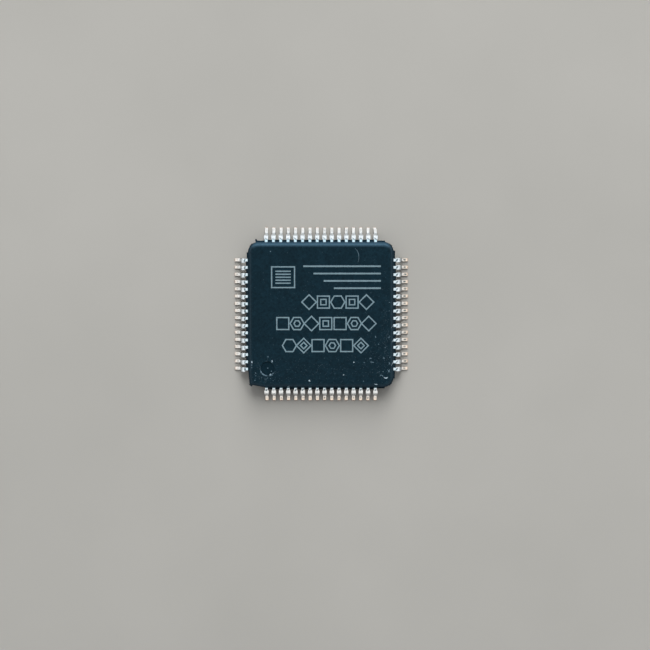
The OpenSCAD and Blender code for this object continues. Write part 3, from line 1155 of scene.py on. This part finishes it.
# Painted highlights on stretches of the dimple's rim, mostly on its front half, as (start, sweep, width),
# the first two in degrees
RIM_ARCS = (
    (197, 26, 0.09), (216, 34, 0.1), (244, 22, 0.08), (284, 22, 0.1), (310, 14, 0.07), (48, 12, 0.07),
)
# Fainter painted highlights on the dimple's rim
FAINT_RIM_ARCS = ((165, 30, 0.06), (262, 24, 0.05), (90, 16, 0.06))
RIM_STEPS = 10

# Clusters of fine specks, as (middle, reach, count)
CLUSTERS = (
    ((-3.9, -4.0), (0.5, 0.5), 200),
    ((4.5, -1.6), (0.2, 1.6), 200),
    ((4.0, -3.2), (0.8, 1.0), 220),
    ((0.0, -3.9), (2.6, 0.6), 260),
    ((0.0, 0.0), (3.5, 3.5), 300),
)
SPECKLE_HALF = 4.68
FINE_SPECK = (0.03, 0.08)


def add_speck(shape, x, y, size, lift, rng, drop=0.0):
    """A small irregular flake on the top face, or in a recess."""
    top = mark_top(lift, rng)
    sides = rng.randint(*SPECK_SIDES)
    stretch = rng.uniform(*SPECK_STRETCH)
    turn = Matrix.Rotation(rng.uniform(0, math.pi), 2)
    low = []
    high = []
    for i in range(sides):
        angle = math.tau * i / sides
        r = size / 2 * rng.uniform(*SPECK_PLAY)
        p = Vector((x, y)) + turn @ Vector((r * math.cos(angle), stretch * r * math.sin(angle)))
        low.append(shape.point((p.x, p.y, MARK_LOW - drop)))
        high.append(shape.point((p.x, p.y, top - drop)))
    shape.join(low, high)
    shape.faces.append(tuple(high))
    shape.faces.append(tuple(reversed(low)))


def on_dimple(x, y):
    return (Vector((x, y)) - DIMPLE_AT).length < DIMPLE_HIGHLIGHT_R


def add_rim_arc(shape, start, sweep, width, lift, rng):
    """A painted highlight on a stretch of the dimple's rim."""
    angles = arc_angles(math.radians(start), math.radians(sweep), RIM_STEPS)
    points = [DIMPLE_AT + DIMPLE_HIGHLIGHT_R * direction(a) for a in angles]
    add_stroke(shape, points, width, lift, rng, taper=True)


def add_wall_scratch(shape, row, points, width, rng):
    """A scratch made flat, then laid against the slope of a wall."""
    flat = Shape()
    add_stroke(flat, points, width, BRIGHT_LIFT, rng, taper=True)
    slope = Matrix.Rotation(math.pi / 2 - DRAFT, 3, "Y") @ Matrix.Rotation(math.pi / 2, 3, "Z")
    turn = Matrix.Rotation(row_angle(row), 3, "Z")
    foot = Vector((BODY_HALF, 0, Z_PARTING))
    first = len(shape.points)
    for p in flat.points:
        shape.point(turn @ (foot + slope @ (p - Z_TOP * UP)))
    shape.faces += [tuple(first + i for i in face) for face in flat.faces]


def bright_scuffs(material):
    rng = random.Random(BRIGHT_SEED)
    shape = Shape()
    for points, width in BRIGHT_SCRATCHES:
        add_stroke(shape, points, width, BRIGHT_LIFT, rng, taper=True)
    for x, y, size in BRIGHT_SPECKS:
        add_speck(shape, x, y, size, BRIGHT_LIFT, rng)
    for row, points, width in WALL_SCRATCHES:
        add_wall_scratch(shape, row, points, width, rng)
    make_piece("bright_scuffs", shape, material, MARK_SHARP)


def pale_scuffs_and_rim_highlights(material):
    rng = random.Random(PALE_SEED)
    shape = Shape()
    for points, width in PALE_SCRATCHES:
        add_stroke(shape, points, width, PALE_LIFT, rng, taper=True)
    for dash in DASHES:
        add_stroke(shape, dash, DASH_W, PALE_LIFT, rng, taper=True)
    # Painted highlights on the dimple's rim
    for arc in RIM_ARCS:
        add_rim_arc(shape, *arc, PALE_LIFT, rng)
    for x, y, size in PALE_SPECKS:
        add_speck(shape, x, y, size, PALE_LIFT, rng)
    add_speck(shape, *DIMPLE_SPECK, PALE_LIFT, rng, drop=DIMPLE_DEPTH)
    make_piece("pale_scuffs_and_rim_highlights", shape, material, MARK_SHARP)


def fine_speckle_and_rim_highlights(material):
    rng = random.Random(FINE_SEED)
    shape = Shape()
    # Faint painted highlights on the dimple's rim
    for arc in FAINT_RIM_ARCS:
        add_rim_arc(shape, *arc, FINE_LIFT, rng)
    for middle, reach, count in CLUSTERS:
        for _ in range(count):
            x, y = [rng.gauss(m, r) for m, r in zip(middle, reach)]
            size = rng.uniform(*FINE_SPECK)
            if max(abs(x), abs(y)) < SPECKLE_HALF and not on_dimple(x, y):
                add_speck(shape, x, y, size, FINE_LIFT, rng)
    make_piece("fine_speckle_and_rim_highlights", shape, material, MARK_SHARP)


# Pieces sealed in the body keep their CAD meshes

def dress_inner_nodes():
    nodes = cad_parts
    dressed = {"die_pad": copper_material(), "die_attach": adhesive_material(), "die": silicon_material()}
    gold = gold_material()
    dressed.update({f"{row}_wires": gold for row in ROWS})
    for name, material in dressed.items():
        nodes[name].data.materials.clear()
        nodes[name].data.materials.append(material)


# Studio

FLOOR_HALF = 3000
FLOOR_NEAR_HALF = 60
KEY_AT = (30, 364, 264)
KEY_SIZE = (290, 400)
KEY_RADIANCE = 6.4
SHEEN_SIZE = (520, 420)
SHEEN_RADIANCE = 1.7
TOP_AT = (0, 40, 330)
TOP_SIZE = (1100, 560)
TOP_RADIANCE = 0.98
LIGHT_TINT = (0.95, 0.985, 1.0)
SKY = (0.80, 0.84, 0.87)
SKY_STRENGTH = 0.5


def floor():
    """A wide floor, finer round the part."""
    shape = Shape()
    corners = [(-1, -1), (1, -1), (1, 1), (-1, 1)]
    outer = [shape.point((FLOOR_HALF * x, FLOOR_HALF * y, 0)) for x, y in corners]
    inner = [shape.point((FLOOR_NEAR_HALF * x, FLOOR_NEAR_HALF * y, 0)) for x, y in corners]
    shape.join(outer, inner)
    shape.faces.append(tuple(inner))
    mesh = bpy.data.meshes.new("floor")
    mesh.from_pydata([p * MM for p in shape.points], [], shape.faces)
    mesh.materials.append(floor_material())
    piece = new_object("floor", mesh)


def soft_box(name, place, size, radiance, gloss):
    """A lamp that faces the part and lights either its matt surfaces or its glossy ones."""
    width, height = size
    lamp = bpy.data.lights.new(name, "AREA")
    lamp.shape = "RECTANGLE"
    lamp.size = width * MM
    lamp.size_y = height * MM
    lamp.energy = radiance * math.pi * lamp.size * lamp.size_y
    lamp.color = LIGHT_TINT
    box = new_object(name, lamp)
    box.location = Vector(place) * MM
    box.rotation_euler = (-Vector(place)).to_track_quat("-Z", "Y").to_euler()
    box.visible_camera = False
    box.visible_glossy = gloss
    box.visible_diffuse = not gloss


def sky():
    world = bpy.data.worlds.new("studio")
    world.use_nodes = True
    background = world.node_tree.nodes["Background"]
    background.inputs["Color"].default_value = (*SKY, 1)
    background.inputs["Strength"].default_value = SKY_STRENGTH
    bpy.context.scene.world = world


def camera():
    lens = bpy.data.cameras.new("camera")
    lens.sensor_width = SENSOR
    lens.lens = FOCAL_PIXELS / IMAGE_SIDE * SENSOR
    lens.clip_start = CLIP_NEAR * MM
    lens.clip_end = CLIP_FAR * MM
    viewer = new_object("camera", lens)
    lean = Matrix.Rotation(-VIEW_LEAN_LEFT, 4, "Y") @ Matrix.Rotation(VIEW_LEAN_BACK, 4, "X")
    away = Matrix.Translation(Vector((*VIEW_OFFSET, -VIEW_DISTANCE)) * MM)
    viewer.matrix_world = (away @ lean).inverted()
    bpy.context.scene.camera = viewer


def studio():
    bpy.context.scene.view_settings.view_transform = "Standard"
    floor()
    sky()
    soft_box("key", KEY_AT, KEY_SIZE, KEY_RADIANCE, gloss=False)
    soft_box("sheen", KEY_AT, SHEEN_SIZE, SHEEN_RADIANCE, gloss=True)
    soft_box("overhead", TOP_AT, TOP_SIZE, TOP_RADIANCE, gloss=True)
    camera()


def build():
    studio()
    moulded_body(moulding_material())
    tin = tin_material()
    for row in ROWS:
        lead_row(row, tin)
    dress_inner_nodes()
    laser_marks(laser_material())
    bright_scuffs(scuff_material("bright_scuff", *BRIGHT_TONES))
    pale_scuffs_and_rim_highlights(scuff_material("pale_scuff_and_rim_highlight", *PALE_TONES))
    fine_speckle_and_rim_highlights(scuff_material("fine_speckle_and_rim_highlights", *FINE_TONES))


build()
